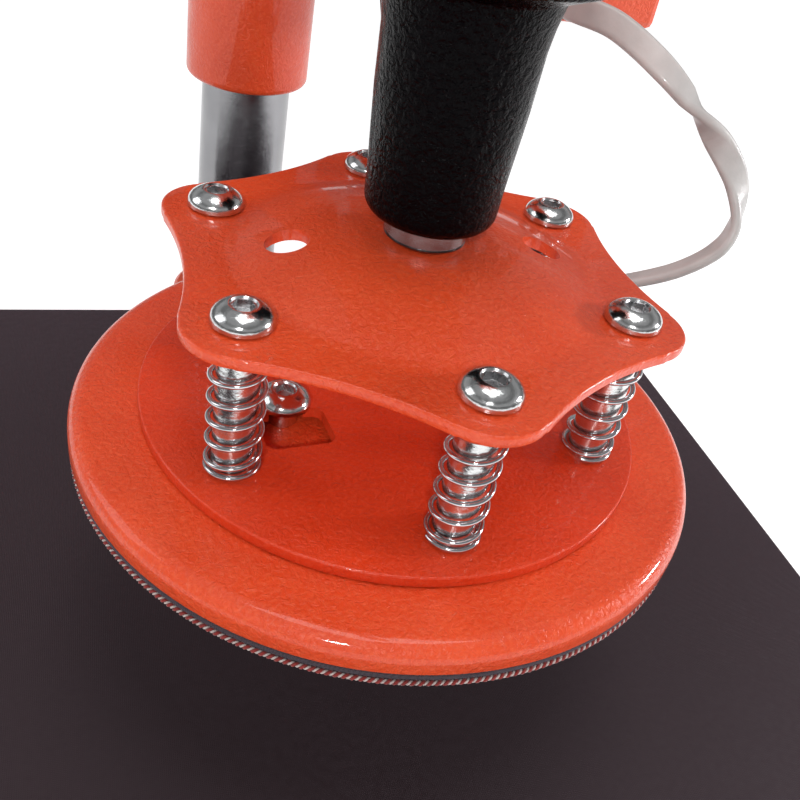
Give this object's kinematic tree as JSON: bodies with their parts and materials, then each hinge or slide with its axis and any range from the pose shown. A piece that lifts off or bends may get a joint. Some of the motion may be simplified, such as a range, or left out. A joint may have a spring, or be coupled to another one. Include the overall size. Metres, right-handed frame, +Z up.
{
  "type": "heat press",
  "caption": "Swing-away heat press with a round spring-floating plate head, lever-driven spindle, flat silicone-padded bed and control box.",
  "frame": {"origin": "middle of the base footprint, on the plane the rubber feet stand on", "axes": "+Z up, -Y towards the operator, +X to the operator's right"},
  "size_m": [0.38, 0.443, 0.637],
  "materials": {
    "orange_coat": "textured powder coat",
    "black_coat": "textured gloss coat",
    "chrome": "polished",
    "steel": "turned",
    "aluminium": "satin",
    "silicone": "woven-faced silicone",
    "rubber": "matt",
    "black_plastic": "fine grain",
    "white_cable": "smooth",
    "display": "gloss",
    "key_grey": "matt",
    "rocker_red": "gloss",
    "welt": "stitched edge"
  },
  "bodies": {
    "base": {"base_frame": "orange_coat", "foot_1": "rubber", "foot_2": "rubber", "foot_3": "rubber", "foot_4": "rubber", "platen_stand": "black_coat", "lower_platen": "aluminium", "lower_pad": "silicone", "column_socket": "orange_coat", "column_post": "chrome"},
    "arm": {"swing_arm": "orange_coat", "lever_bracket": "orange_coat", "pivot_pin": "chrome", "guide_tube": "black_coat", "box_bracket": "black_coat", "control_box": "orange_coat", "control_panel": "black_plastic", "display_window": "display", "mains_inlet": "black_plastic", "heater_socket": "chrome", "cable_plug": "black_plastic", "heater_cable": "white_cable"},
    "lever": {"lever": "orange_coat", "lever_grip": "rubber", "crank_pin": "chrome"},
    "press_spindle": {"spindle": "steel", "spindle_nut": "chrome", "lift_yoke": "black_coat", "star_plate": "orange_coat", "spring_1": "chrome", "spring_2": "chrome", "spring_3": "chrome", "spring_4": "chrome", "spring_5": "chrome", "spring_6": "chrome"},
    "pressure_screw": {"pressure_screw": "chrome", "pressure_knob": "black_plastic"},
    "float_plate": {"adapter_disc": "orange_coat", "bolt_1": "chrome", "bolt_2": "chrome", "bolt_3": "chrome", "bolt_4": "chrome", "bolt_5": "chrome", "bolt_6": "chrome"},
    "platen": {"platen_cover": "orange_coat", "heater_plate": "aluminium", "platen_pad": "silicone", "edge_welt": "welt", "stud_1": "chrome", "stud_2": "chrome", "cable_gland": "black_plastic"},
    "swing_lock": {"swing_lock_knob": "black_plastic"},
    "power_switch": {"power_rocker": "rocker_red"},
    "key_down": {"key_down": "key_grey"},
    "key_set": {"key_set": "key_grey"},
    "key_up": {"key_up": "key_grey"}
  },
  "joints": [
    {"name": "arm_swing", "type": "hinge", "parent": "base", "child": "arm", "pos_m": [0, 0.1665, 0.25], "axis": [0, 0, 1], "range_deg": [-4.06, 68]},
    {"name": "lever_pull", "type": "hinge", "parent": "arm", "child": "lever", "pos_m": [0.01096, 0.01208, 0.39475], "axis": [0.9975, 0.0708, 0], "range_deg": [0, 60]},
    {"name": "spindle_slide", "type": "slide", "parent": "arm", "child": "press_spindle", "axis": [0, 0, 1], "range_m": [-0.0621, 0]},
    {"name": "pressure_turn", "type": "hinge", "parent": "press_spindle", "child": "pressure_screw", "pos_m": [0.01476, -0.04148, 0.44875], "axis": [0, 0, 1], "range_deg": [-360, 360]},
    {"name": "plate_float", "type": "slide", "parent": "press_spindle", "child": "float_plate", "axis": [0, 0, 1], "range_m": [0, 0.012], "stiffness_N_per_m": 20000, "springref_m": -0.004, "deforming": ["spring_1", "spring_2", "spring_3", "spring_4", "spring_5", "spring_6"]},
    {"name": "bayonet_turn", "type": "hinge", "parent": "float_plate", "child": "platen", "pos_m": [0.01476, -0.04148, 0.17875], "axis": [0, 0, 1], "range_deg": [0, 19]},
    {"name": "swing_lock_turn", "type": "hinge", "parent": "arm", "child": "swing_lock", "pos_m": [-0.02633, 0.16463, 0.30875], "axis": [-0.9975, -0.0708, 0], "range_deg": [-180, 180]},
    {"name": "power_rock", "type": "hinge", "parent": "arm", "child": "power_switch", "pos_m": [0.14327, 0.14659, 0.30775], "axis": [-0.0708, 0.9975, 0], "range_deg": [0, 9]},
    {"name": "key_down_press", "type": "slide", "parent": "arm", "child": "key_down", "axis": [-0.0708, 0.9975, 0], "range_m": [0, 0.0015], "stiffness_N_per_m": 300},
    {"name": "key_set_press", "type": "slide", "parent": "arm", "child": "key_set", "axis": [-0.0708, 0.9975, 0], "range_m": [0, 0.0015], "stiffness_N_per_m": 300},
    {"name": "key_up_press", "type": "slide", "parent": "arm", "child": "key_up", "axis": [-0.0708, 0.9975, 0], "range_m": [0, 0.0015], "stiffness_N_per_m": 300}
  ],
  "couplings": [
    {"joint": "spindle_slide", "follows": "lever_pull", "m_per_rad": -0.059206}
  ]
}
